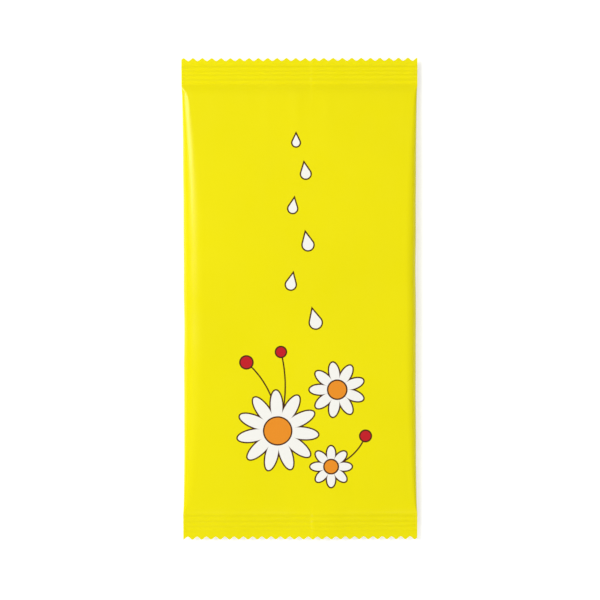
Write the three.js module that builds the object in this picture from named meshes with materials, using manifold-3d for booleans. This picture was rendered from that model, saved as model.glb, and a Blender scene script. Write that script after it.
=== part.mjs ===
// Flow-wrapped wet wipes pack, lying on its back with the printed panel up.
// One web of film is folded into a tube round a folded wipe. A fin seal closes it down the back, and a
// ribbed seal with a zigzag cut closes each end, so the sealed pack is one solid.
// Millimetres, +Z up, +Y towards the top end, origin under the middle of the pack.
import * as THREE from "three";
import { mergeVertices } from "three/addons/utils/BufferGeometryUtils.js";
import Module from "manifold-3d";

// Driving dimensions of the pack
const packLength = 140; // over the tooth tips of both ends
const packWidth = 68.25; // flat width of the film tube, as the end seals show it
const packThickness = 4.6; // from the table to the front panel
const filmPly = 0.1; // one layer of laminated film
const sealHeight = 2; // middle of both end seals above the table
const waistInset = 0.4; // how far each side edge draws in at mid length
const sideLean = 0.5; // how much higher the right side edge lies than the left one, at mid length
const frontSlope = 50; // from an end seal to the full height of the front panel
const backSlope = 18; // from an end seal to where the back panel lies on the table
const swiftLength = 2; // the steep first part of both slopes
const swiftShare = 0.22; // share of the full height that the steep part reaches
const leftShoulder = 5.8; // width of the rounded shoulder at the left side, at mid length
const rightShoulder = 3; // and at the right side
const leastShoulder = 0.3; // width of both where they run into an end seal

// End seals: a plain band next to the cut, then pressed grooves
const topSeal = { end: 1, plainBand: 1.63, grooves: 5 };
const bottomSeal = { end: -1, plainBand: 2.33, grooves: 4 };
const ribPitch = 1.42;
const ribHeight = 0.2; // crest to groove
const toothPitch = 2.7;
const toothDepth = 0.9;
const sealOverlap = 0.2; // how far a seal reaches into the filled tube

// Fin seal: two layers folded flat against the back
const finFold = 3.4; // from the centre line to the fold
const finWidth = 9; // from the fold to the free edge
const finCrease = 0.5; // half width of the crease along the fold
const finRun = 3; // how far the back panel takes to come down again beside the free edge

// Facets
const shoulderSteps = 8;
const panelSteps = 10;
const halfRows = 22; // rows from an end seal to mid length, closer together near the seal
const ribSteps = 8; // facets to a rib

// Values that follow from the sizes above
const halfLength = packLength / 2;
const halfWidth = packWidth / 2;
const sealLength = (seal) => seal.plainBand + (seal.grooves - 0.5) * ribPitch;
const bodyTop = halfLength - sealLength(topSeal);
const bodyBottom = -halfLength + sealLength(bottomSeal);
const bodyMiddle = (bodyTop + bodyBottom) / 2;
const bodyHalf = (bodyTop - bodyBottom) / 2;
const finEdge = finFold + finWidth;
const finThickness = 2 * filmPly;
const frontRise = packThickness - sealHeight - filmPly;
const backDrop = sealHeight - filmPly;

const wasm = await Module();
wasm.setup();

// Turns a closed three.js geometry into a solid that can be joined and cut.
function solidFrom(geometry) {
  const bare = new THREE.BufferGeometry();
  bare.setAttribute("position", geometry.getAttribute("position"));
  bare.setIndex(geometry.getIndex());
  const merged = mergeVertices(bare);
  return new wasm.Manifold(
    new wasm.Mesh({
      numProp: 3,
      vertProperties: new Float32Array(merged.getAttribute("position").array),
      triVerts: new Uint32Array(merged.getIndex().array),
    }),
  );
}

// Turns a solid back into a geometry.
function geometryFrom(solid) {
  const mesh = solid.getMesh();
  const geometry = new THREE.BufferGeometry();
  geometry.setAttribute("position", new THREE.BufferAttribute(mesh.vertProperties, mesh.numProp));
  geometry.setIndex(new THREE.BufferAttribute(mesh.triVerts, 1));
  geometry.computeVertexNormals();
  return geometry;
}

// Evenly spaced numbers from one end to the other, with both ends.
function spread(from, to, steps) {
  return Array.from({ length: steps + 1 }, (_, i) => from + ((to - from) * i) / steps);
}

// Skins a row of rings. Each ring is a front row of points, then as many back points the other way.
function loft(rings) {
  const count = rings[0].length;
  const faces = [];
  for (let row = 0; row + 1 < rings.length; row += 1) {
    for (let i = 0; i < count; i += 1) {
      const a = row * count + i;
      const b = row * count + ((i + 1) % count);
      faces.push(a, b, a + count, b, b + count, a + count);
    }
  }
  const last = (rings.length - 1) * count;
  for (let i = 0; i + 1 < count / 2; i += 1) {
    const across = count - 1 - i;
    faces.push(i, across, i + 1, i + 1, across, across - 1);
    faces.push(last + i, last + i + 1, last + across);
    faces.push(last + i + 1, last + across - 1, last + across);
  }
  const geometry = new THREE.BufferGeometry().setFromPoints(rings.flat());
  geometry.setIndex(faces);
  return geometry;
}

// How full one face of the tube is at a distance from the nearer end seal: 0 flat, 1 full.
function fullness(fromSeal, slope) {
  const left = 1 - Math.min(fromSeal / Math.min(slope, bodyHalf), 1);
  const slow = 1 - left * left;
  return slow + swiftShare * (Math.tanh(fromSeal / swiftLength) - slow);
}

// How far the sides have drawn in: 0 at the end seals, 1 at mid length.
function drawnIn(y) {
  return 1 - Math.abs((y - bodyMiddle) / bodyHalf) ** 3;
}

// Lift of the back panel across the fin: a crease at the fold, and a step at the free edge.
const finRelief = [
  [finFold - finCrease, 0],
  [finFold, finThickness],
  [finFold + finCrease, 0],
  [finEdge, 0],
  [finEdge + filmPly, finThickness],
  [finEdge + finRun, 0],
];

// One shoulder of a face, from the panel to the side edge: place across, and share of the face's height.
function shoulderPoints(hand, edge, fill) {
  const width = leastShoulder + ((hand > 0 ? rightShoulder : leftShoulder) - leastShoulder) * fill;
  return spread(Math.PI / 2, 0, shoulderSteps).map((turn) => {
    const x = hand * (edge - width * (1 - Math.cos(turn)));
    return { x, rise: Math.sin(turn), hand, lift: 0 };
  });
}

// One face of the tube at a place along the pack, from its left edge to its right one.
function faceRow(y, fill, edge, lean, panelLifts, heightAt) {
  const left = shoulderPoints(-1, edge, fill).reverse();
  const right = shoulderPoints(1, edge, fill);
  const panel = panelLifts(left.at(-1).x, right[0].x).map(([x, lift]) => ({ x, rise: 1, hand: 0, lift }));
  return [...left, ...panel, ...right].map(({ x, rise, hand, lift }) => {
    const edgeLift = (hand * lean * (1 - rise)) / 2;
    return new THREE.Vector3(x, y, heightAt(rise, lift) + edgeLift);
  });
}

// One ring of the tube: the front from left to right, then the back from right to left.
function section(y) {
  const fromSeal = Math.min(y - bodyBottom, bodyTop - y);
  const frontFill = fullness(fromSeal, frontSlope);
  const backFill = fullness(fromSeal, backSlope);
  const edge = halfWidth - waistInset * drawnIn(y);
  const lean = sideLean * frontFill;

  const inside = (points) => points.slice(1, -1);
  const frontPanel = (from, to) => inside(spread(from, to, panelSteps)).map((x) => [x, 0]);
  const backPanel = (from) => {
    const besideFin = spread(from, finFold - finCrease, panelSteps - finRelief.length);
    return [...inside(besideFin).map((x) => [x, 0]), ...finRelief];
  };
  const frontZ = (rise) => sealHeight + filmPly + frontFill * frontRise * rise;
  const backZ = (rise, lift) => sealHeight - filmPly - backFill * (backDrop * rise - lift);
  const front = faceRow(y, frontFill, edge, lean, frontPanel, frontZ);
  const back = faceRow(y, backFill, edge, lean, backPanel, backZ);
  return [...front, ...back.reverse()];
}

// The filled tube between the two end seals.
function filledTube() {
  const fromSeal = spread(0, 1, halfRows).map((share) => bodyHalf * share * share);
  const bottomHalf = fromSeal.map((distance) => bodyBottom + distance);
  const topHalf = fromSeal.slice(0, -1).map((distance) => bodyTop - distance);
  return solidFrom(loft([...bottomHalf, ...topHalf.reverse()].map(section)));
}

// Height of the pressed wave over the middle of the seal, at a distance from the tooth tips.
function ribWave(seal, fromCut) {
  const along = fromCut - seal.plainBand;
  const inRibs = along > 0 && fromCut < sealLength(seal);
  return inRibs ? (-ribHeight / 2) * Math.sin((2 * Math.PI * along) / ribPitch) : 0;
}

// A strip of the seal: its ribbed profile, drawn along the pack and run across it.
function sealStrip(seal, layers, from, to) {
  const ribs = spread(seal.plainBand, sealLength(seal), Math.round((seal.grooves - 0.5) * ribSteps));
  const stations = [-toothDepth, ...ribs, sealLength(seal) + sealOverlap];
  const half = (layers * filmPly) / 2;
  const line = (side) =>
    stations.map((fromCut) => {
      const along = seal.end * (halfLength - fromCut);
      return new THREE.Vector2(along, sealHeight + ribWave(seal, fromCut) + side);
    });
  const profile = new THREE.Shape([...line(half), ...line(-half).reverse()]);
  const strip = new THREE.ExtrudeGeometry(profile, { depth: to - from, bevelEnabled: false, steps: 1 });
  const acrossPack = new THREE.Matrix4().makeBasis(
    new THREE.Vector3(0, 1, 0),
    new THREE.Vector3(0, 0, 1),
    new THREE.Vector3(1, 0, 0),
  );
  strip.applyMatrix4(acrossPack);
  strip.translate(from, 0, 0);
  return solidFrom(strip);
}

// The waste beyond the zigzag cut at one end, with a valley on the centre line.
function cutWaste(end) {
  const teeth = Math.ceil(halfWidth / toothPitch) + 1;
  const zigzag = spread(-teeth, teeth, 4 * teeth).map((step, i) => {
    const inset = i % 2 === 0 ? toothDepth : 0;
    return new THREE.Vector2(step * toothPitch, end * (halfLength - inset));
  });
  const beyond = end * (halfLength + 2 * toothDepth);
  const reach = teeth * toothPitch;
  const outline = [...zigzag, new THREE.Vector2(reach, beyond), new THREE.Vector2(-reach, beyond)];
  const waste = new THREE.ExtrudeGeometry(new THREE.Shape(outline), {
    depth: packThickness,
    bevelEnabled: false,
    steps: 1,
  });
  return solidFrom(waste);
}

// One end seal: the tube's two layers, and four where the fin is caught.
function endSeal(seal) {
  const sheet = sealStrip(seal, 2, -halfWidth, halfWidth);
  const caughtFin = sealStrip(seal, 4, finFold, finEdge);
  return sheet.add(caughtFin).subtract(cutWaste(seal.end));
}

const pack = filledTube().add(endSeal(topSeal)).add(endSeal(bottomSeal));

const film = new THREE.MeshStandardMaterial({ color: 0xf1e614, roughness: 0.45, metalness: 0 });
const wipesPack = new THREE.Mesh(geometryFrom(pack), film);
wipesPack.name = "wipes_pack";

const part = new THREE.Group();
part.name = "wet_wipes_pack";
part.add(wipesPack);

export default part;
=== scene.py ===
"""A flow-wrapped wet wipes pack in printed satin film, lying on its back, and the stage it lies on."""
import math

import bpy
import numpy as np
from bpy.props import FloatProperty, FloatVectorProperty, IntProperty, PointerProperty
from mathutils import Matrix, Vector


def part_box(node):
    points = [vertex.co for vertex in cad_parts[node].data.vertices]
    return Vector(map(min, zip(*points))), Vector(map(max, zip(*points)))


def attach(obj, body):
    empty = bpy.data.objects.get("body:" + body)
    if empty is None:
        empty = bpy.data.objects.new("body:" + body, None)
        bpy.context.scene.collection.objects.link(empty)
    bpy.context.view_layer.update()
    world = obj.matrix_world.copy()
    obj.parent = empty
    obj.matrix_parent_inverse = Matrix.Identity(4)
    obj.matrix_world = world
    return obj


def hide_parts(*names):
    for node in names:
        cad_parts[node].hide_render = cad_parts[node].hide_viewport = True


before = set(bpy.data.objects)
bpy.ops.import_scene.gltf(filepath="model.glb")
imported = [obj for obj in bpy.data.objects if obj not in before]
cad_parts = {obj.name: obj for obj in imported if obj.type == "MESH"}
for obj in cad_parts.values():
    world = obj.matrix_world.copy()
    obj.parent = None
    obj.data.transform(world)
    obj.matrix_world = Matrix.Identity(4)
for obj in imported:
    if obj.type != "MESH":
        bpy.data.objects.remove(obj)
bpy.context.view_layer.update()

bl_info = {
    "name": "Wet Wipes Pack",
    "version": (1, 0, 0),
    "blender": (4, 5, 0),
    "location": "View3D > Sidebar > Wipes Pack",
    "description": "Makes a flow-wrapped wet wipes pack in printed film, and a stage to show it on",
    "category": "Object",
}

MM = 0.001
PACK_LOW, PACK_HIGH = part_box("wipes_pack")
PACK_SIZE = PACK_HIGH - PACK_LOW
FILM_NAME = "pack_film"
FRONT, BACK = 1, -1

# Rows of points along the film
BAND_ROWS = 5  # on the plain band of an end seal
ROWS_TO_A_RIB = 9
STEEP_ROWS = 22  # on the steep first part of a slope
SLOPE_ROWS = 24  # on the next part of it
PANEL_ROWS = 60  # on the rest of the panel
CLOSE_SLOPE = 20 * MM  # how far inside an end seal the rows lie close together

# Columns of points across the film
PLAIN_COLUMNS = 3  # to half a tooth
FINE_COLUMNS = 6  # to half a tooth, beside the fold of the fin and along the sides
SIDE_STRIP = 6 * MM  # width of the strip along a side that has fine columns
LEAST_STRIP = 0.1 * MM  # a narrower rest of half a tooth gets no columns of its own
SHOULDER_POINTS = 65  # by which the curve of a shoulder is measured

# Folds at the corners and along the sides
LEAST_SHOULDER = 0.05 * MM  # width of a shoulder where it runs into an end seal
TOP_LEFT_FOLD = 1.0  # how flat the shoulder is folded at the top left corner, where 1 is a plane facet
OTHER_FOLDS = 0.4  # and at the other corners
FOLD_REACH = 4 * MM  # how far such a fold reaches along the side
TUCK_REACH = 2 * MM  # over which the sides get tucked in, inside an end seal
TOOTH_SHARPNESS = 0.25  # 0 for a wavy cut, 1 for a straight zigzag

# Pleats beside the end seals, with ranges in millimetres that the seed chooses from
MAIN_PLEAT = (1.0, 1.7 * MM, 7 * MM)  # share of the tallest, width, reach into the panel
FRONT_PLEATS = [-1.0 * MM, 8.0 * MM]  # places across the pack, beside the top seal
BACK_PLEATS = [-14 * MM, 21 * MM]
SMALL_PLEATS = 13  # on a panel, beside each end seal
PLEAT_SPREAD = 0.45  # of the pack's width, to each side of the centre line
PLEAT_STRAY = (-1.6, 1.6)
PLEAT_HEIGHT = (-0.5, 0.55)  # share of the tallest
PLEAT_WIDTH = (1.2, 2.4)
PLEAT_REACH = (3, 9)
PLEAT_START = 1.2 * MM  # over which a pleat rises, inside an end seal

# Slow waves of the film, with wave lengths in millimetres
SWELL_WAVES = 9
SWELL_LENGTH = (18, 55)
EDGE_WAVES = (47, 29, 19)
SEAL_WAVES = (61, 37, 23)
RIB_WAVES = (29, 17, 11)
RIB_CHANGE = 0.06  # share by which the ribs change in height across the pack
INNER_RIPPLE = 0.5  # share of a seal's ripple that is left at its inner line
RIPPLE_REACH = 6 * MM  # over which that rest dies away, inside an end seal

# Fin seal
FOLD_STEP = 0.4 * MM  # width of the step that an end seal takes at the fin's fold
EDGE_STEP = 1.6 * MM  # and at its free edge
FIN_REACH = 2.5 * MM  # over which both steps die away, inside an end seal
CREASE_WIDTH = 0.45 * MM  # of the crease in the back panel along the fold
EDGE_RUN = 1.8 * MM  # over which the back panel comes down again beside the free edge
EDGE_COLUMN = 0.4 * MM  # from the free edge to the next column


def size(name, description, default):
    """A length that a user may change, in metres."""
    return FloatProperty(name=name, description=description, default=default, unit="LENGTH", precision=5)


def places(name, description, default):
    """A row of lengths that a user may change, in metres."""
    return FloatVectorProperty(
        name=name, description=description, default=default, size=len(default), unit="LENGTH", precision=5
    )


def share(name, description, default):
    """A number from 0 to 1 that a user may change."""
    return FloatProperty(name=name, description=description, default=default, min=0, max=1, subtype="FACTOR")


def turn(name, description, default):
    """An angle that a user may change, given here in degrees."""
    return FloatProperty(name=name, description=description, default=math.radians(default), subtype="ANGLE")


def colour(name, description, default):
    """A colour that a user may change, in linear light."""
    return FloatVectorProperty(
        name=name, description=description, default=default, size=3, min=0, max=1, subtype="COLOR"
    )


class PackShape(bpy.types.PropertyGroup):
    """Sizes of the sealed pack"""

    length: size("Length", "Over the tooth tips of both ends", PACK_SIZE.y)
    width: size("Width", "Flat width of the film tube, as the end seals show it", PACK_SIZE.x)
    thickness: size("Thickness", "From the table to the front panel", PACK_SIZE.z)
    ply: size("Film", "Thickness of one layer of film", 0.1 * MM)
    seal_height: size("Seal Height", "Middle of both end seals above the table", 2 * MM)
    waist: size("Waist", "How far each side edge draws in at mid length", 0.46 * MM)
    tuck: size("Tuck", "How much of that the side edge draws in just inside an end seal", 0.17 * MM)
    front_slope: size("Front Slope", "From an end seal to the full height of the front panel", 50 * MM)
    back_slope: size("Back Slope", "From an end seal to where the back panel lies on the table", 18 * MM)
    swift: size("Swift Part", "Length of the steep first part of both slopes", 2 * MM)
    swift_share: share("Swift Share", "Share of the full height that the steep part reaches", 0.22)
    left_shoulder: size("Left Shoulder", "Width of the left shoulder at mid length", 5.8 * MM)
    right_shoulder: size("Right Shoulder", "Width of the right shoulder at mid length", 3 * MM)
    corner: size("Corner", "How far inside an end seal the shoulders start", 0.5 * MM)
    side_lean: size("Side Lean", "How much higher the right side edge lies than the left one", 0.5 * MM)
    top_grooves: places(
        "Top Grooves",
        "From the tooth tips to each groove of the top seal",
        [2.2 * MM, 3.55 * MM, 4.61 * MM, 5.86 * MM, 7.54 * MM],
    )
    top_ribs: places(
        "Top Rib Heights",
        "From the bottom of each groove of the top seal to the crests beside it",
        [0.27 * MM, 0.13 * MM, 0.15 * MM, 0.16 * MM, 0.2 * MM],
    )
    bottom_grooves: places(
        "Bottom Grooves",
        "From the tooth tips to each groove of the bottom seal",
        [2.83 * MM, 4.22 * MM, 5.68 * MM, 7.34 * MM],
    )
    bottom_ribs: places(
        "Bottom Rib Heights",
        "From the bottom of each groove of the bottom seal to the crests beside it",
        [0.13 * MM, 0.14 * MM, 0.19 * MM, 0.21 * MM],
    )
    tooth_pitch: size("Tooth Pitch", "From one tooth tip to the next", 2.7 * MM)
    top_valley: size("Top Valley", "How far right of mid width a valley of the top cut lies", 0.31 * MM)
    bottom_valley: size("Bottom Valley", "The same for a valley of the bottom cut", -0.38 * MM)
    tooth_depth: size("Tooth Depth", "From a tip to a valley of the zigzag cut", 0.9 * MM)
    fin_fold: size("Fin Fold", "From the centre line to the fold of the fin seal", 3.4 * MM)
    fin_width: size("Fin Width", "From the fold of the fin seal to its free edge", 9 * MM)


class FilmRelief(bpy.types.PropertyGroup):
    """How the film puckers and ripples"""

    seed: IntProperty(name="Seed", description="Chooses where the small pleats and the waves lie", default=7)
    pucker: size("Pucker", "Height of the tallest pleat beside an end seal", 0.24 * MM)
    ripple: size("Seal Ripple", "How far an end seal waves up and down", 0.12 * MM)
    swell: size("Panel Swell", "How far the panels rise and fall over the folded wipe", 0.07 * MM)
    edge_wander: size("Edge Wander", "How far a side edge strays from its line", 0.05 * MM)


class FilmColours(bpy.types.PropertyGroup):
    """Colours and gloss of the film and its print"""

    film: colour("Film", "Ground colour of the film", (0.885, 0.787, 0.0))
    line: colour("Line", "Outlines and stalks of the print", (0.07, 0.022, 0.008))
    petal: colour("Petal", "Petals and drops of the print", (0.93, 0.92, 0.86))
    heart: colour("Flower Heart", "Middles of the printed flowers", (0.86, 0.29, 0.02))
    berry: colour("Berry", "Berries of the print", (0.56, 0.014, 0.022))
    roughness: share("Roughness", "How matt the film is", 0.21)
    specular: share("Specular", "How strongly the film mirrors its surroundings", 0.34)


class StageLook(bpy.types.PropertyGroup):
    """Lights and camera"""

    key: share("Key", "Share of the light that comes from the lamp high at the left", 0.3)
    fill: share("Fill", "Share from the dim lamp between the key and the point overhead", 0.04)
    bottom: share("Bottom", "Share from the lamp beyond the bottom end", 0.11)
    ambient: share("Ambient", "Share that comes from all round", 0.5)
    camera_distance: size("Camera Distance", "From the camera to the pack", 700 * MM)
    view_width: size("View Width", "Width of what the camera sees at the pack", 174.26 * MM)
    camera_lean: turn("Camera Lean", "How far the camera leans over towards the top end", 2.6)
    camera_roll: turn("Camera Roll", "How far the camera is turned about its own line of sight", 0.11)


class Seal:
    """One end seal of the film, with where its ribs lie and how far it reaches in from the tooth tips."""

    def __init__(self, shape, end):
        self.end = end
        self.grooves = np.array(shape.top_grooves if end > 0 else shape.bottom_grooves)
        self.rib_heights = np.array(shape.top_ribs if end > 0 else shape.bottom_ribs)
        self.valley = shape.top_valley if end > 0 else shape.bottom_valley
        pitch = np.diff(self.grooves)
        self.band = self.grooves[0] - pitch[0] / 4
        self.length = self.grooves[-1] + pitch[-1] / 4

    def lay(self, rows, length):
        """Notes how far each row of the film lies from the tooth tips, and inside the seal's inner line."""
        self.from_cut = length - rows if self.end > 0 else rows
        self.inside = np.maximum(self.from_cut - self.length, 0)

    def rib_wave(self):
        """Height of the pressed ribs at each row, a wave that ends a quarter beyond its outer grooves."""
        last, quarter = len(self.grooves) - 1, 0.25
        stops = [self.band, *self.grooves, self.length]
        phase = np.interp(self.from_cut, stops, [-quarter, *range(last + 1), last + quarter])
        height = np.interp(self.from_cut, self.grooves, self.rib_heights)
        return -height / 2 * np.cos(2 * np.pi * phase)


class Side:
    """One side of the film tube: where its edge runs, how wide its shoulders are, how flat it is folded.

    The shoulders are those of the front, under FRONT, and of the back, under BACK. They widen as opened
    says, and the edge lifts as the front fills.
    """

    def __init__(self, shape, hand, seals, edge, opened, front_fill):
        self.hand = hand
        self.edge = edge
        width = shape.right_shoulder if hand > 0 else shape.left_shoulder
        self.shoulder = {face: width * opening + LEAST_SHOULDER for face, opening in opened.items()}
        self.lift = hand * shape.side_lean / 2 * front_fill
        self.facet = np.zeros_like(edge)
        for seal in seals:
            is_top_left = seal.end > hand
            flatness = TOP_LEFT_FOLD if is_top_left else OTHER_FOLDS
            self.facet = np.maximum(self.facet, flatness * np.exp(-seal.inside / FOLD_REACH))


def film_rows(shape, bottom_seal, top_seal):
    """Distances along the flat film from the bottom tooth tips, close together on ribs and slopes."""
    bottom, top = bottom_seal.length, shape.length - top_seal.length
    steep = 3 * shape.swift
    stops = [
        (bottom_seal.band, BAND_ROWS),
        (bottom, ROWS_TO_A_RIB * len(bottom_seal.grooves)),
        (bottom + steep, STEEP_ROWS),
        (bottom + CLOSE_SLOPE, SLOPE_ROWS),
        (top - CLOSE_SLOPE, PANEL_ROWS),
        (top - steep, SLOPE_ROWS),
        (top, STEEP_ROWS),
        (shape.length - top_seal.band, ROWS_TO_A_RIB * len(top_seal.grooves)),
        (shape.length, BAND_ROWS),
    ]
    rows = [0.0]
    for stop, steps in stops:
        rows.extend(np.linspace(rows[-1], stop, steps + 1)[1:])
    return np.array(rows)


def film_columns(shape):
    """Places across the flat film: a few to each half tooth of the cuts, closer by the fin and the sides."""
    half_width, half_tooth = shape.width / 2, shape.tooth_pitch / 2
    stops = np.append(np.arange(0, half_width - LEAST_STRIP, half_tooth), half_width)
    right = [0.0]
    for stop in stops[1:]:
        by_fold = right[-1] < shape.fin_fold < stop
        by_side = stop > half_width - SIDE_STRIP
        steps = FINE_COLUMNS if by_fold or by_side else PLAIN_COLUMNS
        right.extend(np.linspace(right[-1], stop, steps + 1)[1:])
    right = np.array(right)
    return np.concatenate([-right[:0:-1], right])


def tooth_inset(shape, across, seal):
    """How far the zigzag cut of a seal lies inside the tooth tips."""
    phase = (across - seal.valley) / shape.tooth_pitch
    zigzag = 1 - 2 * np.abs(phase - np.round(phase))
    wavy = (1 + np.cos(2 * np.pi * phase)) / 2
    return shape.tooth_depth * (TOOTH_SHARPNESS * zigzag + (1 - TOOTH_SHARPNESS) * wavy)


def drape(shape, across, sides, face, heights):
    """Lays each row of film over its section: a flat panel, with a shoulder that falls to each side edge.

    Returns the place of each point across the pack, and its share of the section's height over that edge.
    """
    turns = np.linspace(0, np.pi / 2, SHOULDER_POINTS)
    x = np.empty((len(heights[0]), len(across)))
    rise = np.empty_like(x)
    for side, height in zip(sides, heights):
        own = np.flatnonzero(across * side.hand >= 0)
        flat = np.abs(across[own]) / (shape.width / 2)
        sections = zip(side.edge, side.shoulder[face], side.facet, height)
        for row, (reach, wide, facet, tall) in enumerate(sections):
            panel = reach - wide
            out = wide * np.sin(turns)
            fall = (1 - facet) * np.cos(turns) + facet * (1 - np.sin(turns))
            arc = np.append(0, np.cumsum(np.hypot(np.diff(out), tall * np.diff(fall))))
            along = flat * (panel + arc[-1])
            on_shoulder = panel + np.interp(along - panel, arc, out)
            x[row, own] = side.hand * np.where(along < panel, along, on_shoulder)
            rise[row, own] = np.interp(along - panel, arc, fall)
    return x, rise


def fill_at(shape, inside, slope):
    """How full a face is, from 0 to 1, at distances from an end seal: a steep start, then a slope."""
    slow = 1 - (1 - np.minimum(inside / slope, 1)) ** 2
    return slow + shape.swift_share * (np.tanh(inside / shape.swift) - slow)


def bump(distance, width):
    """A smooth ridge of height 1."""
    return np.exp(-((distance / width) ** 2))


def step_up(distance, width):
    """A smooth step from 0 to 1, as steep in its middle as a straight ramp of that width."""
    return 1 / (1 + np.exp(-4 * distance / width))


def wander(draw, along, waves):
    """A slow random line, about from -1 to 1, of waves whose lengths are in millimetres."""
    line = np.zeros_like(along)
    for wave in waves:
        line += np.cos(2 * np.pi * along / (wave * MM) + draw.uniform(0, 2 * np.pi)) / len(waves) ** 0.5
    return line


def pleats(shape, relief, draw, across, seal, main_places):
    """Soft pleats that run from an end seal into a panel: the main ones, and small ones between."""
    inside = seal.inside[:, None]
    ridges = [(place, *MAIN_PLEAT) for place in main_places]
    for place in np.linspace(-PLEAT_SPREAD, PLEAT_SPREAD, SMALL_PLEATS) * shape.width:
        off = draw.uniform(*PLEAT_STRAY) * MM
        tall = draw.uniform(*PLEAT_HEIGHT)
        wide = draw.uniform(*PLEAT_WIDTH) * MM
        reach = draw.uniform(*PLEAT_REACH) * MM
        ridges.append((place + off, tall, wide, reach))
    field = np.zeros((len(inside), len(across)))
    for place, tall, wide, reach in ridges:
        field += tall * bump(across - place, wide) * np.exp(-inside / reach)
    return relief.pucker * field * (1 - np.exp(-inside / PLEAT_START))


def swells(relief, draw, across, rows):
    """Slow rise and fall of a panel over the folded wipe."""
    field = np.zeros((len(rows), len(across)))
    for _ in range(SWELL_WAVES):
        heading = draw.uniform(0, np.pi)
        wave = draw.uniform(*SWELL_LENGTH) * MM
        phase = 2 * np.pi / wave * (across * np.cos(heading) + rows[:, None] * np.sin(heading))
        field += np.cos(phase + draw.uniform(0, 2 * np.pi)) / SWELL_WAVES**0.5
    return relief.swell * field


def seal_ripple(relief, draw, across, seal):
    """Slow waves of an end seal, strongest at the cut, which die away inside the pack."""
    towards_inside = np.clip(seal.from_cut / seal.length, 0, 1)
    fade = np.exp(-seal.inside / RIPPLE_REACH) * (1 - (1 - INNER_RIPPLE) * towards_inside)
    return relief.ripple * fade[:, None] * wander(draw, across, SEAL_WAVES)


def fin_in_seal(shape, across, seal):
    """Lift of an end seal over the two more layers of the fin that it catches."""
    fold = step_up(across - shape.fin_fold, FOLD_STEP)
    free_edge = step_up(across - shape.fin_fold - shape.fin_width, EDGE_STEP)
    fade = np.exp(-seal.inside / FIN_REACH)[:, None]
    return shape.ply * (fold - free_edge) * fade


def fin_on_back(shape, across):
    """Lift of the back panel across the fin: a crease at its fold, and a step at its free edge."""
    past_edge = across - shape.fin_fold - shape.fin_width
    crease = bump(across - shape.fin_fold, CREASE_WIDTH)
    beside = np.where(past_edge > 0, np.exp(-past_edge / EDGE_RUN), 0)
    return 2 * shape.ply * (crease + beside)


def snap(across, edges):
    """Moves the nearest column to each edge, so that the edge stays crisp."""
    moved = across.copy()
    for edge in edges:
        moved[np.argmin(np.abs(across - edge))] = edge
    return moved


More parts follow.
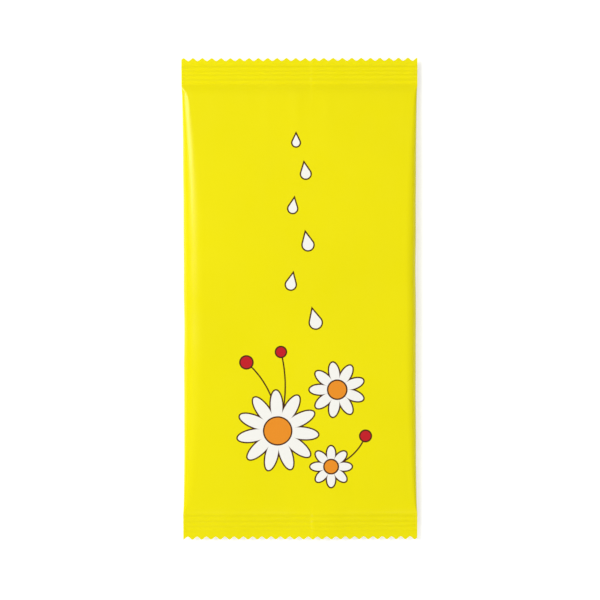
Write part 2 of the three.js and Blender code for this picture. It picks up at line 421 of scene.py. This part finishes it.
class Film:
    """The shaped film: points of the front and the back, as rows of columns, and their places when flat."""

    def __init__(self, shape, relief):
        self.shape, self.relief = shape, relief
        self.seals = [Seal(shape, -1), Seal(shape, 1)]
        self.rows = film_rows(shape, *self.seals)
        for seal in self.seals:
            seal.lay(self.rows, shape.length)
        self.draw = np.random.default_rng(relief.seed)
        fin_edge = shape.fin_fold + shape.fin_width
        self.front_across = film_columns(shape)
        self.back_across = snap(self.front_across, [shape.fin_fold, fin_edge, fin_edge + EDGE_COLUMN])
        self.fills, self.sides = self.fullness()
        ripple = sum(seal_ripple(relief, self.draw, self.front_across, seal) for seal in self.seals)
        rib_share = 1 + RIB_CHANGE * wander(self.draw, self.front_across, RIB_WAVES)
        pressed = sum(seal.rib_wave() for seal in self.seals)[:, None] * rib_share + ripple
        rise = shape.thickness - shape.seal_height - shape.ply
        drop = shape.seal_height - shape.ply
        self.front = self.panel(self.front_across, FRONT, rise, pressed, FRONT_PLEATS)
        self.back = self.panel(self.back_across, BACK, drop, pressed, BACK_PLEATS)

    def fullness(self):
        """How full each face of the tube is at each row, from 0 to 1, and the run of its two sides."""
        shape = self.shape
        bottom, top = self.seals
        inside = np.minimum(bottom.inside, top.inside)
        past_corner = np.maximum(inside - shape.corner, 0)
        slopes = {FRONT: shape.front_slope, BACK: shape.back_slope}
        fills = {face: fill_at(shape, inside, slope) for face, slope in slopes.items()}
        opened = {face: fill_at(shape, past_corner, slope) for face, slope in slopes.items()}
        middle = (bottom.length + shape.length - top.length) / 2
        half = middle - bottom.length
        drawn_in = np.maximum(1 - np.abs((self.rows - middle) / half) ** 3, 0)
        tucked = shape.tuck * (1 - np.exp(-inside / TUCK_REACH))
        sides = []
        for hand in (-1, 1):
            stray = self.relief.edge_wander * wander(self.draw, self.rows, EDGE_WAVES) * drawn_in
            edge = shape.width / 2 - tucked - (shape.waist - shape.tuck) * drawn_in - stray
            sides.append(Side(shape, hand, self.seals, edge, opened, fills[FRONT]))
        return fills, sides

    def panel(self, across, face, full_height, pressed, main_pleats):
        """Points of the film of one face, which is FRONT or BACK."""
        shape, relief, draw = self.shape, self.relief, self.draw
        fill = self.fills[face]
        heights = [full_height * fill - face * side.lift for side in self.sides]
        x, rise = drape(shape, across, self.sides, face, heights)
        on_right = across > 0
        height = np.where(on_right, heights[1][:, None], heights[0][:, None])
        lift = np.where(on_right, self.sides[1].lift[:, None], self.sides[0].lift[:, None])
        loose = swells(relief, draw, across, self.rows)
        for seal in self.seals:
            loose += pleats(shape, relief, draw, across, seal, main_pleats if seal.end > 0 else [])
        caught = sum(fin_in_seal(shape, across, seal) for seal in self.seals)
        z = shape.seal_height + pressed + lift + face * (shape.ply + height * rise + caught)
        z += face * loose * rise * np.minimum(2 * fill, 1)[:, None]
        if face == BACK:
            z += fin_on_back(shape, across) * fill[:, None]
        y = self.rows[:, None] - shape.length / 2 + np.zeros_like(x)
        for seal in self.seals:
            near_cut = np.maximum(1 - seal.from_cut / seal.band, 0)[:, None]
            y -= seal.end * near_cut * tooth_inset(shape, across, seal)
        return np.stack([x, y, np.maximum(z, 0)], axis=-1)

    def points(self):
        """All points, row by row: the front from left to right, then the back from right to left."""
        return np.concatenate([self.front, self.back[:, ::-1]], axis=1).reshape(-1, 3)

    def faces(self):
        """Quads of the closed film: both panels with their side edges, then the two cut ends."""
        columns, count = len(self.front_across), len(self.rows)
        ring = 2 * columns
        row, place = np.meshgrid(np.arange(count - 1) * ring, np.arange(ring), indexing="ij")
        after = (place + 1) % ring
        tube = np.stack([row + place, row + after, row + ring + after, row + ring + place], -1)
        front = np.arange(columns - 1)
        back = ring - 1 - front
        bottom = np.stack([front, back, back - 1, front + 1], -1)
        top = np.stack([front, front + 1, back - 1, back], -1) + (count - 1) * ring
        return np.concatenate([tube.reshape(-1, 4), bottom, top])

    def layout(self, faces):
        """Lays the two panels side by side in the unit square, with the thin edges beside the front one."""
        shape = self.shape
        columns = len(self.front_across)
        length_share, margin = 0.97, 0.012
        scale = length_share / shape.length
        thin = 3 * shape.ply
        row, place = np.divmod(faces, 2 * columns)
        across = np.concatenate([self.front_across, self.back_across[::-1]])[place]
        along = self.rows[row] - shape.length / 2
        is_back = (place >= columns).all(axis=1)[:, None]
        far_corner = (place >= columns) & ~is_back
        cut_end = (row == row[:, :1]).all(axis=1)[:, None]
        across = across + np.where(far_corner & ~cut_end, thin * np.sign(across), 0)
        along = along + np.where(far_corner & cut_end, thin * np.sign(along), 0)
        middle = margin + shape.width * scale / 2
        u = np.where(is_back, 1 - middle - across * scale, middle + across * scale)
        return np.stack([u, 0.5 + along * scale], -1).reshape(-1, 2)


class WIPESPACK_OT_film(bpy.types.Operator):
    """Makes the sealed film pack with its ribbed ends, zigzag cuts and fin seal"""

    bl_idname = "wipes_pack.film"
    bl_label = "Make Film Pack"

    def execute(self, context):
        shaped = Film(context.scene.wipes_pack_shape, context.scene.wipes_pack_relief)
        faces = shaped.faces()
        mesh = bpy.data.meshes.new(FILM_NAME)
        mesh.from_pydata(shaped.points().tolist(), [], faces.tolist())
        layout = mesh.uv_layers.new(name="OFBake")
        layout.uv.foreach_set("vector", shaped.layout(faces).ravel())
        mesh.shade_smooth()
        crisp_edge = math.radians(50)
        mesh.set_sharp_from_angle(angle=crisp_edge)
        if mesh.validate(verbose=True):
            raise RuntimeError("the film mesh has faces that can't be used")
        film = bpy.data.objects.new(FILM_NAME, mesh)
        context.scene.collection.objects.link(film)
        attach(film, "root")
        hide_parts("wipes_pack")
        return {"FINISHED"}


class Field:
    """A number that varies over a surface, worked out by shader nodes."""

    def __init__(self, tree, socket):
        self.tree = tree
        self.socket = socket

    def math(self, operation, *others, clamp=False):
        """The result of one Math node, with fields or plain numbers as its other inputs."""
        node = self.tree.nodes.new("ShaderNodeMath")
        node.operation = operation
        node.use_clamp = clamp
        for socket, value in zip(node.inputs, (self, *others)):
            if isinstance(value, Field):
                self.tree.links.new(value.socket, socket)
            else:
                socket.default_value = value
        return Field(self.tree, node.outputs[0])

    def __add__(self, other):
        return self.math("ADD", other)

    def __sub__(self, other):
        return self.math("SUBTRACT", other)

    def __mul__(self, other):
        return self.math("MULTIPLY", other)

    def __truediv__(self, other):
        return self.math("DIVIDE", other)

    def hypot(self, other):
        """The length of the long side of a right triangle with these two as its short sides."""
        return (self * self + other * other).math("SQRT")


def coordinates_of(tree, output):
    """One output of a Texture Coordinate node, and its three parts as fields."""
    whole = tree.nodes.new("ShaderNodeTexCoord").outputs[output]
    split = tree.nodes.new("ShaderNodeSeparateXYZ")
    tree.links.new(whole, split.inputs[0])
    return whole, [Field(tree, socket) for socket in split.outputs]


# Print on the front panel, in millimetres from the middle of the pack
FLOWERS = [
    {"centre": (-6.5, -38.0), "radius": 12.0, "petals": 11, "start": 0.1},
    {"centre": (10.8, -26.0), "radius": 8.2, "petals": 9, "start": 0.35},
    {"centre": (9.0, -48.5), "radius": 6.2, "petals": 8, "start": 0.0},
]
BERRIES = [
    {"centre": (-15.5, -18.0), "radius": 1.9, "flower": 0, "bend": 26.0},
    {"centre": (-5.5, -15.0), "radius": 1.6, "flower": 0, "bend": 40.0},
    {"centre": (19.0, -39.5), "radius": 1.7, "flower": 2, "bend": 15.0},
]
DROPS = [
    {"centre": (4.6, -6.5), "radius": 1.9, "lean": 0.25},
    {"centre": (-2.6, 4.5), "radius": 1.6, "lean": -0.2},
    {"centre": (2.4, 16.0), "radius": 1.75, "lean": 0.2},
    {"centre": (-2.0, 26.5), "radius": 1.45, "lean": -0.15},
    {"centre": (1.8, 36.5), "radius": 1.55, "lean": 0.15},
    {"centre": (-1.0, 45.5), "radius": 1.25, "lean": 0.0},
]
LINE_WIDTH = 0.42 * MM
INK_EDGE = 0.05 * MM  # half width of the soft edge of an ink
HEART_SHARE = 0.34  # of a flower's radius
PETAL_START = 0.2  # share of a flower's radius at which its petals start
PETAL_FULLNESS = 0.9  # share of the room between its neighbours that a petal takes up
DROP_TIP = 2.3  # from a drop's centre to its tip, in radii
PRINT_RISE = 0.6 * MM  # above the end seals, where the front panel and its print start

# Finish of the film, with noise patterns by their scale and detail
COLOUR_CLOUDS = {"scale": 30, "detail": 2}
COLOUR_CHANGE = 0.03  # share by which the ground colour gets lighter and darker
GLOSS_PATCHES = {"scale": 160, "detail": 3}
GLOSS_CHANGE = 0.1  # from the glossiest patch to the most matt one, in roughness
CRINKLE = {"scale": 420, "detail": 3}
CRINKLE_HEIGHT = 0.006 * MM
FINE_CRINKLE = {"scale": 3000, "detail": 2}
FINE_CRINKLE_HEIGHT = 0.0015 * MM
KNURL_PITCH = 0.9 * MM  # of the pressed lines across the fin
KNURL_HEIGHT = 0.02 * MM
KNURL_MARGIN = 1 * MM  # plain strip along the fold and along the free edge
KNURL_DROP = 1 * MM  # below the end seals, where the back panel and its knurl start


def edge_mask(outside):
    """1 where a distance in metres is below 0, and 0 above, with a soft edge finer than the print."""
    return (outside * (-0.5 / INK_EDGE)).math("ADD", 0.5, clamp=True)


def blend(mask, under, over):
    """Mixes two colours, each a socket or three numbers: under where the mask is 0, over where it is 1."""
    tree = mask.tree
    mix = tree.nodes.new("ShaderNodeMix")
    mix.data_type = "RGBA"
    tree.links.new(mask.socket, mix.inputs["Factor"])
    for name, value in (("A", under), ("B", over)):
        if isinstance(value, bpy.types.NodeSocket):
            tree.links.new(value, mix.inputs[name])
        else:
            mix.inputs[name].default_value = (*value, 1)
    return mix.outputs["Result"]


def outlined(under, outside, fill, line):
    """Paints a shape and the line round it."""
    filled = blend(edge_mask(outside), under, fill)
    return blend(edge_mask(outside.math("ABSOLUTE") - LINE_WIDTH / 2), filled, line)


def disc(x, y, centre, radius):
    """Distance outside a disc."""
    return (x - centre[0]).hypot(y - centre[1]) - radius


def petals(x, y, centre, radius, count, start):
    """Distance outside a ring of petals, each an ellipse that points outwards."""
    from_x, from_y = x - centre[0], y - centre[1]
    inner = PETAL_START * radius
    middle, half_length = (radius + inner) / 2, (radius - inner) / 2
    half_width = PETAL_FULLNESS * middle * math.tan(math.pi / count)
    angle = (from_y.math("ARCTAN2", from_x) + start).math("PINGPONG", math.pi / count)
    reach = from_x.hypot(from_y)
    along = (reach * angle.math("COSINE") - middle) / half_length
    aside = reach * angle.math("SINE") / half_width
    scaled = along.hypot(aside)
    never_zero = 0.01
    steepness = (along / half_length).hypot(aside / half_width) + never_zero
    return (scaled - 1.0) * scaled / steepness


def drop(x, y, centre, radius, lean):
    """Distance outside a drop of water: a disc with two straight sides that meet in a point above it."""
    narrow = 1 / DROP_TIP
    slope = math.sqrt(1 - narrow**2)
    from_x, from_y = x - centre[0], y - centre[1]
    aside = (from_x * math.cos(lean) + from_y * math.sin(lean)).math("ABSOLUTE")
    up = from_y * math.cos(lean) - from_x * math.sin(lean)
    past_disc = (up * slope - aside * narrow).math("GREATER_THAN", 0.0)
    round_part = aside.hypot(up) - radius
    straight_part = aside * slope + up * narrow - radius
    return round_part + (straight_part - round_part) * past_disc


def stalk(x, y, flower, berry, bend):
    """Distance outside a thin stalk: the shorter arc, of radius bend, from a flower's middle to a berry."""
    flower, berry = Vector(flower), Vector(berry)
    middle, chord = (flower + berry) / 2, berry - flower
    to_right = Vector((chord.y, -chord.x)).normalized()
    half_chord = chord.length / 2
    centre = middle - to_right * math.sqrt(bend**2 - half_chord**2)
    ring = disc(x, y, centre, bend).math("ABSOLUTE") - LINE_WIDTH / 2
    return ring.math("MAXIMUM", disc(x, y, middle, half_chord))


def place_of(motif):
    """Centre and radius of a flower, berry or drop, in metres."""
    across, along = motif["centre"]
    return (across * MM, along * MM), motif["radius"] * MM


def print_on(colours, ground, x, y):
    """Prints flowers, berries and drops on the ground colour, and returns the printed colour."""
    line = colours.line
    for berry in BERRIES:
        centre, radius = place_of(berry)
        flower, _ = place_of(FLOWERS[berry["flower"]])
        stem = stalk(x, y, flower, centre, berry["bend"] * MM)
        ground = blend(edge_mask(stem), ground, line)
        ground = outlined(ground, disc(x, y, centre, radius), colours.berry, line)
    for flower in reversed(FLOWERS):
        centre, radius = place_of(flower)
        ring = petals(x, y, centre, radius, flower["petals"], flower["start"])
        ground = outlined(ground, ring, colours.petal, line)
        ground = outlined(ground, disc(x, y, centre, HEART_SHARE * radius), colours.heart, line)
    for water in DROPS:
        centre, radius = place_of(water)
        ground = outlined(ground, drop(x, y, centre, radius, water["lean"]), colours.petal, line)
    return ground


def noise(tree, coordinates, scale, detail):
    """A soft cloud pattern, from about 0 to 1."""
    node = tree.nodes.new("ShaderNodeTexNoise")
    node.inputs["Scale"].default_value = scale
    node.inputs["Detail"].default_value = detail
    tree.links.new(coordinates, node.inputs["Vector"])
    return Field(tree, node.outputs["Fac"])


def film_colour(tree, coordinates, shape, colours, x, y, z):
    """Colour of the film: a ground that is a little uneven, printed on the front."""
    darker = [(1 - COLOUR_CHANGE) * part for part in colours.film]
    lighter = [min((1 + COLOUR_CHANGE) * part, 1) for part in colours.film]
    plain = blend(noise(tree, coordinates, **COLOUR_CLOUDS), darker, lighter)
    on_front = z.math("GREATER_THAN", shape.seal_height + PRINT_RISE)
    return blend(on_front, plain, print_on(colours, plain, x, y))


def film_height(tree, coordinates, shape, x, y, z):
    """Fine relief of the film: crinkles all over, and pressed lines along the fin."""
    coarse = noise(tree, coordinates, **CRINKLE) * CRINKLE_HEIGHT
    fine = noise(tree, coordinates, **FINE_CRINKLE) * FINE_CRINKLE_HEIGHT
    past_fold = x.math("GREATER_THAN", shape.fin_fold + KNURL_MARGIN)
    before_edge = x.math("LESS_THAN", shape.fin_fold + shape.fin_width - KNURL_MARGIN)
    on_back = z.math("LESS_THAN", shape.seal_height - KNURL_DROP)
    knurl = (y * (2 * math.pi / KNURL_PITCH)).math("SINE") * KNURL_HEIGHT
    return coarse + fine + knurl * past_fold * before_edge * on_back


def film_material(shape, colours):
    """Satin film: printed on the front, a little uneven in colour and gloss, and knurled along the fin."""
    material = bpy.data.materials.new("printed_film")
    material.use_nodes = True
    tree = material.node_tree
    shader = tree.nodes["Principled BSDF"]
    coordinates, (x, y, z) = coordinates_of(tree, "Object")
    tree.links.new(film_colour(tree, coordinates, shape, colours, x, y, z), shader.inputs["Base Color"])
    patches = noise(tree, coordinates, **GLOSS_PATCHES)
    gloss = patches * GLOSS_CHANGE + (colours.roughness - GLOSS_CHANGE / 2)
    tree.links.new(gloss.socket, shader.inputs["Roughness"])
    shader.inputs["Specular IOR Level"].default_value = colours.specular
    relief = tree.nodes.new("ShaderNodeBump")
    relief.inputs["Strength"].default_value = 1
    relief.inputs["Distance"].default_value = 1
    tree.links.new(film_height(tree, coordinates, shape, x, y, z).socket, relief.inputs["Height"])
    tree.links.new(relief.outputs["Normal"], shader.inputs["Normal"])
    return material


class WIPESPACK_OT_print(bpy.types.Operator):
    """Gives the film its satin finish and its print"""

    bl_idname = "wipes_pack.print"
    bl_label = "Print Film"

    def execute(self, context):
        film = bpy.data.objects.get(FILM_NAME)
        if film is None:
            raise RuntimeError("make the film pack before printing it")
        scene = context.scene
        film.data.materials.append(film_material(scene.wipes_pack_shape, scene.wipes_pack_colours))
        return {"FINISHED"}


# Floor, in metres
FLOOR_HALF = 4.0  # half its side
FLOOR_GAP = 0.02 * MM  # below the pack, so that floor and film don't coincide
PAPER = (0.8, 0.8, 0.8, 1)
NEAR_GLOW = 0.42  # makes the floor pale near the pack, where its shadow falls
FAR_GLOW = 0.97  # makes it white further off
GLOW_START = 0.12  # from the middle of the pack to where the floor starts to get whiter
GLOW_RUN = 0.5  # from there to where it is white

# Room beyond the floor, by the upward part of a direction, which is 1 straight up
ROOM_TOP = 0.16  # where the white room starts to get dark
ROOM_FADE = 8.0  # how fast it does
CEILING = 0.05  # how white it is overhead

# Lamps, by the property that holds their share of the light, in metres
LAMPS = {
    "key": {"place": (-0.5, 0.27, 0.66), "size": (0.42, 0.34)},
    "fill": {"place": (-0.36, 0.2, 0.78), "size": (0.42, 0.22)},
    "bottom": {"place": (0.0, -1.5, 0.66), "size": (1.6, 0.6)},
}

# Camera
IMAGE_SIDE = 600  # pixels
SENSOR_WIDTH = 36  # millimetres
AIM = (0.18, -0.2)  # how far right of the pack's middle, and above it, the camera aims, in pixels


def seen_background(tree):
    """1 for the rays that show the background: from the camera, or by way of gloss or glass."""
    path = tree.nodes.new("ShaderNodeLightPath")
    seen = Field(tree, path.outputs["Is Camera Ray"])
    for name in ("Is Glossy Ray", "Is Transmission Ray"):
        seen = seen.math("MAXIMUM", Field(tree, path.outputs[name]))
    return seen


def floor_material():
    """Pale paper that shows the pack's shadow near it, and is white to the eye further off."""
    material = bpy.data.materials.new("pale_floor")
    material.use_nodes = True
    tree = material.node_tree
    tree.nodes.remove(tree.nodes["Principled BSDF"])
    paper = tree.nodes.new("ShaderNodeBsdfDiffuse")
    paper.inputs["Color"].default_value = PAPER
    glow = tree.nodes.new("ShaderNodeEmission")
    _, (x, y, _) = coordinates_of(tree, "Object")
    far = (x.hypot(y) - GLOW_START).math("DIVIDE", GLOW_RUN, clamp=True)
    strength = (far * (FAR_GLOW - NEAR_GLOW) + NEAR_GLOW) * seen_background(tree)
    tree.links.new(strength.socket, glow.inputs["Strength"])
    both = tree.nodes.new("ShaderNodeAddShader")
    tree.links.new(paper.outputs[0], both.inputs[0])
    tree.links.new(glow.outputs[0], both.inputs[1])
    tree.links.new(both.outputs[0], tree.nodes["Material Output"].inputs["Surface"])
    return material


def make_floor(scene):
    """A wide level floor just under the pack."""
    mesh = bpy.data.meshes.new("floor")
    level = PACK_LOW.z - FLOOR_GAP
    corners = [(x * FLOOR_HALF, y * FLOOR_HALF, level) for x, y in ((-1, -1), (1, -1), (1, 1), (-1, 1))]
    mesh.from_pydata(corners, [], [(0, 1, 2, 3)])
    mesh.materials.append(floor_material())
    floor = bpy.data.objects.new("floor", mesh)
    scene.collection.objects.link(floor)


def make_world(scene, look):
    """Even light from all round, and to the eye and to gloss a white room that is dark overhead."""
    world = bpy.data.worlds.new("studio")
    scene.world = world
    world.use_nodes = True
    tree = world.node_tree
    _, (_, _, up) = coordinates_of(tree, "Generated")
    overhead = (up - ROOM_TOP).math("MULTIPLY", ROOM_FADE, clamp=True)
    room = overhead * (CEILING - 1) + 1.0
    strength = (room - look.ambient) * seen_background(tree) + look.ambient
    background = tree.nodes["Background"]
    background.inputs["Color"].default_value = (1, 1, 1, 1)
    tree.links.new(strength.socket, background.inputs["Strength"])


def add_lamp(scene, name, place, lamp_size, level):
    """A soft rectangular lamp that points at the pack and gives its panel that share of the full light."""
    place = Vector(place)
    data = bpy.data.lights.new(name, "AREA")
    data.shape = "RECTANGLE"
    data.size, data.size_y = lamp_size
    slant = place.z / place.length
    data.energy = level * 4 * math.pi * place.length_squared / slant
    lamp = bpy.data.objects.new(name, data)
    lamp.location = place
    lamp.rotation_mode = "QUATERNION"
    lamp.rotation_quaternion = (-place).to_track_quat("-Z", "Y")
    scene.collection.objects.link(lamp)


def add_camera(scene, shape, look):
    """A long lens that looks down on the pack."""
    data = bpy.data.cameras.new("camera")
    data.sensor_width = SENSOR_WIDTH
    data.lens = data.sensor_width * look.camera_distance / look.view_width
    camera = bpy.data.objects.new("camera", data)
    scene.collection.objects.link(camera)
    pixel = look.view_width / IMAGE_SIDE
    aim = Vector((AIM[0] * pixel, AIM[1] * pixel, shape.seal_height))
    back = Vector((0, math.sin(look.camera_lean), math.cos(look.camera_lean)))
    across = Vector((1, 0, 0))
    facing = Matrix((across, back.cross(across), back)).transposed()
    roll = Matrix.Rotation(-look.camera_roll, 3, "Z")
    camera.matrix_world = Matrix.Translation(aim + back * look.camera_distance) @ (facing @ roll).to_4x4()
    scene.camera = camera


class WIPESPACK_OT_stage(bpy.types.Operator):
    """Lays out the floor, the studio lamps and the camera that looks down on the pack"""

    bl_idname = "wipes_pack.stage"
    bl_label = "Set Stage"

    def execute(self, context):
        scene = context.scene
        look = scene.wipes_pack_stage
        make_floor(scene)
        make_world(scene, look)
        for name, lamp in LAMPS.items():
            add_lamp(scene, name, lamp["place"], lamp["size"], getattr(look, name))
        add_camera(scene, scene.wipes_pack_shape, look)
        scene.view_settings.view_transform = "Standard"
        return {"FINISHED"}


class WIPESPACK_PT_panel(bpy.types.Panel):
    """Sizes, colours and steps of the wet wipes pack"""

    bl_idname = "WIPESPACK_PT_panel"
    bl_label = "Wet Wipes Pack"
    bl_space_type = "VIEW_3D"
    bl_region_type = "UI"
    bl_category = "Wipes Pack"

    def draw(self, context):
        scene = context.scene
        for settings in (getattr(scene, name) for name in SETTINGS):
            box = self.layout.box()
            for name in settings.__annotations__:
                box.prop(settings, name)
        for operator in OPERATORS:
            self.layout.operator(operator.bl_idname)


SETTINGS = {
    "wipes_pack_shape": PackShape,
    "wipes_pack_relief": FilmRelief,
    "wipes_pack_colours": FilmColours,
    "wipes_pack_stage": StageLook,
}
OPERATORS = (WIPESPACK_OT_film, WIPESPACK_OT_print, WIPESPACK_OT_stage)


def register():
    """Adds the settings, the operators and the panel to Blender."""
    for name, group in SETTINGS.items():
        bpy.utils.register_class(group)
        setattr(bpy.types.Scene, name, PointerProperty(type=group))
    for cls in (*OPERATORS, WIPESPACK_PT_panel):
        bpy.utils.register_class(cls)


def unregister():
    """Takes them away again, in the opposite order."""
    for cls in (WIPESPACK_PT_panel, *reversed(OPERATORS)):
        bpy.utils.unregister_class(cls)
    for name, group in reversed(SETTINGS.items()):
        delattr(bpy.types.Scene, name)
        bpy.utils.unregister_class(group)


def main():
    """Makes the pack and its stage."""
    register()
    bpy.ops.wipes_pack.film()
    bpy.ops.wipes_pack.print()
    bpy.ops.wipes_pack.stage()


if __name__ == "__main__":
    main()
